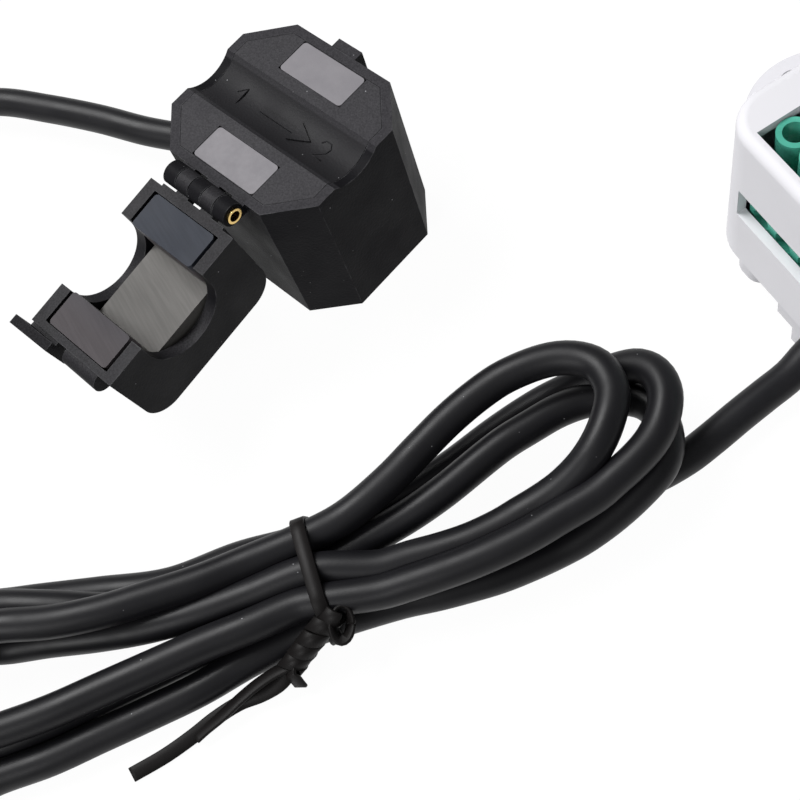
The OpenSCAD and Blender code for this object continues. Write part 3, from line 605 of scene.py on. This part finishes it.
def dust_mask(nodes, links, coords, size):
    """1 on a few small dots: some cells out of many hold one pale grain."""
    dots = nodes.new("ShaderNodeTexVoronoi")
    dots.inputs["Scale"].default_value = 900
    links.new(coords, dots.inputs["Vector"])
    spot = ramp_node(nodes, links, dots.outputs["Distance"], [(0.0, white), (size * 2, black)])
    chosen = ramp_node(nodes, links, dots.outputs["Color"], [(0.72, black), (0.8, white)])
    return product(nodes, links, spot, chosen)


def moulded(name, dark, light, rough, drift=60, grain=2600, depth=0.00004, specular=0.5, specks=0.0,
            metal=0.0, top=None, band=None, wear=None):
    """A finish whose colour drifts from dark to light and whose skin has a fine grain.

    top gives the two tones of the painted light on faces that look up, a paler grey as if lit from above,
    band the heights (mm) where that painted light is laid, and wear the tone of rubbed edges.
    """
    material, nodes, links = node_material(name)
    shader = nodes["Principled BSDF"]
    place = nodes.new("ShaderNodeTexCoord")
    coords = place.outputs["Object"]
    tone = ramp_node(nodes, links, noise_node(nodes, links, coords, drift), [(0.3, dark), (0.7, light)])
    # Painted light: faces that look up are mixed towards a paler grey, as if lit from above.
    if top:
        facing = nodes.new("ShaderNodeSeparateXYZ")
        links.new(place.outputs["Normal"], facing.inputs[0])
        painted_lit_share = ramp_node(nodes, links, facing.outputs["Z"], [(0.5, black), (0.95, white)])
        if band:
            painted_lit_share = product(nodes, links, painted_lit_share, height_band(nodes, links, coords, *band))
        fine = noise_node(nodes, links, coords, 5200, 2.0)
        painted_top_light = ramp_node(nodes, links, fine, [(0.35, top[0]), (0.65, top[1])])
        tone = mixed(nodes, links, painted_lit_share, tone, painted_top_light)
    if wear:
        tone = mixed(nodes, links, edge_mask(nodes, links, coords), tone, wear)
    if specks:
        tone = mixed(nodes, links, dust_mask(nodes, links, coords, specks), tone, dust)
    links.new(tone, shader.inputs["Base Color"])
    low, high = rough
    sheen = noise_node(nodes, links, coords, drift * 3)
    gloss = ramp_node(nodes, links, sheen, [(0.3, (low,) * 3), (0.7, (high,) * 3)])
    links.new(gloss, shader.inputs["Roughness"])
    shader.inputs["Specular IOR Level"].default_value = specular
    shader.inputs["Metallic"].default_value = metal
    if depth:
        bump = nodes.new("ShaderNodeBump")
        bump.inputs["Strength"].default_value = 0.6
        bump.inputs["Distance"].default_value = depth
        links.new(noise_node(nodes, links, coords, grain, 2.0), bump.inputs["Height"])
        links.new(bump.outputs["Normal"], shader.inputs["Normal"])
    return material


def dress(material, *names):
    """Puts one finish on whole CAD nodes."""
    for name in names:
        slots = node[name].data.materials
        if len(slots):
            for k in range(len(slots)):
                slots[k] = material
        else:
            slots.append(material)


print("helpers", moulded.__name__, dress.__name__)

# %% [markdown]
# The module is white plastic with a fine, even skin and a faint cool cast. The base is a shade greyer
# than the cover, so the seam between them reads. The button is a little glossier.

# %% White module
cover_white = moulded("cover_white", (0.655, 0.65, 0.68), (0.69, 0.685, 0.715), (0.5, 0.58),
                      specular=0.22, depth=0.00001)
base_white = moulded("base_white", (0.62, 0.615, 0.645), (0.66, 0.655, 0.685), (0.5, 0.6),
                     specular=0.25, depth=0.00001)
button_white = moulded("button_white", (0.61, 0.61, 0.645), (0.65, 0.65, 0.685), (0.4, 0.5),
                       specular=0.25, depth=0.000006)
dress(cover_white, "module_cover")
dress(base_white, "module_base", "switch_plunger", "coil_bobbin")
dress(button_white, "push_button")
print("whites", cover_white.name, base_white.name, button_white.name)

# %% [markdown]
# The clamp is black plastic with a fine matt skin. Its faces that look up are painted a paler grey with a
# grain, as light from above would show them, its sides stay almost black, and its edges are rubbed.

# %% Black clamp
black_side = (0.0062, 0.0060, 0.0073), (0.0086, 0.0084, 0.0098)
# Painted light: the paler grey of faces that look up, for the clamp and the jaw.
painted_lit_grey = (0.027, 0.0261, 0.0292), (0.042, 0.0407, 0.045)
painted_lit_jaw = (0.015, 0.0146, 0.0162), (0.029, 0.0281, 0.0312)
clamp_black = moulded("clamp_black", *black_side, (0.5, 0.62), specular=0.05, grain=3200, depth=0.00007,
                      specks=0.045, top=painted_lit_grey, band=(21.6, 22.6), wear=(0.10, 0.10, 0.105))
# The face plate's black is a paler copy of the clamp's black: painted light, as the plate faces up.
lit_plate_black = moulded("lit_plate_black", (0.013, 0.0126, 0.0142), (0.018, 0.0175, 0.0195), (0.5, 0.62),
                      specular=0.12, grain=3200, depth=0.00006, specks=0.045, top=painted_lit_grey,
                      band=(21.7, 22.7))
jaw_black = moulded("jaw_black", *black_side, (0.5, 0.62), specular=0.10, grain=3600, depth=0.00005,
                    specks=0.045, top=painted_lit_jaw, wear=(0.09, 0.09, 0.094))
dress(clamp_black, "clamp_body")
dress(lit_plate_black, "face_plate")
dress(jaw_black, "jaw_shell")
for mark in marks:
    mark.data.materials.append(lit_plate_black)
print("blacks", clamp_black.name, lit_plate_black.name, jaw_black.name)

# %% [markdown]
# The cord's jacket is smooth and black, with a broad sheen and some dust. The tie is duller and
# has a brown cast.

# %% Cord and tie
cord_black = moulded("cord_black", (0.0052, 0.0051, 0.0063), (0.0080, 0.0079, 0.0095), (0.38, 0.5),
                     specular=0.24, depth=0.000012, specks=0.04)
tie_grey = moulded("tie_grey", (0.0045, 0.0041, 0.0041), (0.009, 0.0078, 0.0078), (0.42, 0.55),
                   specular=0.13, depth=0.00002)
cord.data.materials.append(cord_black)
tie_band.data.materials.append(tie_grey)
print("soft finishes", cord_black.name, tie_grey.name)

# %% [markdown]
# The terminal block is glossy green plastic with slight ripples. Behind it are the green boards
# and the small parts on them, each in the colour that such a part usually has.

# %% Terminals, boards and small parts
terminal_green = moulded("terminal_green", (0.05, 0.31, 0.225), (0.09, 0.43, 0.325), (0.2, 0.32),
                         drift=240, grain=700, depth=0.00006)
board_green = moulded("board_green", (0.012, 0.09, 0.045), (0.02, 0.12, 0.06), (0.3, 0.4), drift=200)
black_plastic = moulded("black_plastic", (0.012, 0.012, 0.013), (0.018, 0.018, 0.02), (0.45, 0.6),
                        specks=0.03)
amber_plastic = moulded("amber_plastic", (0.55, 0.28, 0.03), (0.65, 0.36, 0.05), (0.35, 0.5))
blue_sleeve = moulded("blue_sleeve", (0.02, 0.05, 0.24), (0.03, 0.07, 0.30), (0.25, 0.35))
ceramic_white = moulded("ceramic_white", (0.62, 0.62, 0.63), (0.7, 0.7, 0.71), (0.5, 0.6))
pad_foam = moulded("pad_foam", (0.08, 0.075, 0.072), (0.12, 0.112, 0.108), (0.8, 0.95),
                   grain=1600, depth=0.0002)
dress(terminal_green, "terminal_block")
dress(board_green, "main_board", "radio_board")
dress(black_plastic, "metering_chip", "supply_converter", "press_switch")
dress(amber_plastic, "surge_disc", "status_light")
dress(blue_sleeve, "storage_capacitor")
dress(ceramic_white, "fuse")
dress(pad_foam, "jaw_pad")
print("small parts", terminal_green.name, board_green.name, black_plastic.name, amber_plastic.name)

# %% [markdown]
# Bare metals: copper wire, steel screws, tinned cages and pins, and the brass tube of the hinge.
# The fixed core's pole faces are ground iron, matt and mauve-grey.

# %% Metals
lead_wire = moulded("lead_wire", (0.50, 0.20, 0.09), (0.62, 0.28, 0.13), (0.28, 0.4), metal=1.0)
screw_steel = moulded("screw_steel", (0.55, 0.55, 0.56), (0.68, 0.68, 0.69), (0.25, 0.4),
                      metal=1.0, depth=0.00002)
tinned_metal = moulded("tinned_metal", (0.55, 0.56, 0.58), (0.66, 0.67, 0.69), (0.3, 0.45),
                       metal=1.0, depth=0.00002)
pin_brass = moulded("pin_brass", (0.62, 0.42, 0.14), (0.80, 0.58, 0.24), (0.16, 0.3),
                    metal=1.0, depth=0.00001)
body_iron = moulded("body_iron", (0.172, 0.164, 0.178), (0.195, 0.186, 0.200), (0.45, 0.6),
                    drift=420, grain=5000, specular=0.3, depth=0.00001)
terminal_count = 8
screws = [f"terminal_screw_{k + 1}" for k in range(terminal_count)]
cages = [f"wire_cage_{k + 1}" for k in range(terminal_count)]
dress(lead_wire, "coil_winding", "coil_leads", "module_leads")
dress(screw_steel, "case_screws", *screws)
dress(tinned_metal, "terminal_pins", "radio_shield", *cages)
dress(pin_brass, "hinge_pin")
dress(body_iron, "body_core")
print("metals", lead_wire.name, screw_steel.name, tinned_metal.name, pin_brass.name, body_iron.name)

# %% [markdown]
# The light pipe is clear plastic: the moulded finish with most of its light let through.

# %% Clear plastic
clear_plastic = moulded("clear_plastic", (0.80, 0.86, 0.88), (0.86, 0.91, 0.93), (0.1, 0.18), depth=0.000004)
clear_plastic.node_tree.nodes["Principled BSDF"].inputs["Transmission Weight"].default_value = 0.85
dress(clear_plastic, "light_pipe")
print("clear", clear_plastic.name)

# %% [markdown]
# The jaw's core shows three looks on one piece: a blue-black pole, a brown-grey pole and a paler
# yoke between them. They lie at different heights, so the height picks the tone, and a noise
# that is stretched along one axis draws brush lines over all of them.

# %% Jaw core
jaw_iron = moulded("jaw_iron", (0.9, 0.9, 0.9), (1.0, 1.0, 1.0), (0.5, 0.56), drift=60, grain=5000,
                   specular=0.12, depth=0.00001)
nodes, links = jaw_iron.node_tree.nodes, jaw_iron.node_tree.links
jaw_coords = nodes.new("ShaderNodeTexCoord").outputs["Object"]
yoke_tone = (0.140, 0.135, 0.129)
brown_pole = (0.056, 0.049, 0.053)
blue_pole = (0.027, 0.031, 0.042)
jaw_layers = [(0.3, yoke_tone), (0.4, brown_pole), (0.7, brown_pole), (0.9, blue_pole)]
layers = ramp_node(nodes, links, height_share(nodes, links, jaw_coords, 14.0, 21.5), jaw_layers)
hairlines = noise_node(nodes, links, jaw_coords, 3000, 2.0, (1.0, 0.05, 1.0))
brush = ramp_node(nodes, links, hairlines, [(0.35, (0.86, 0.86, 0.86)), (0.65, white)])
shade = nodes.new("ShaderNodeMix")
shade.data_type = "RGBA"
shade.blend_type = "MULTIPLY"
shade.inputs["Factor"].default_value = 1.0
links.new(layers, shade.inputs["A"])
links.new(brush, shade.inputs["B"])
links.new(shade.outputs["Result"], nodes["Principled BSDF"].inputs["Base Color"])
dress(jaw_iron, "jaw_core")
print("jaw core nodes", len(nodes))

# %% [markdown]
# No moulded edge is truly sharp. A narrow bevel on the edges that show gives each of them a line
# of light and each joint between two pieces a thin dark seam. It is a modifier, so the CAD mesh
# under it stays as it is.

# %% Edge bevels
edge_widths = {
    "clamp_body": 0.18, "face_plate": 0.2, "jaw_shell": 0.16, "body_core": 0.15, "jaw_core": 0.15,
    "module_base": 0.2, "terminal_block": 0.12, "hinge_pin": 0.08}
for name, width in edge_widths.items():
    bevel = node[name].modifiers.new("soft_edge", "BEVEL")
    bevel.width = width * mm
    bevel.segments = 2
    bevel.limit_method = "ANGLE"
    bevel.angle_limit = math.radians(35)
    bevel.harden_normals = False
print("bevelled", len(edge_widths))
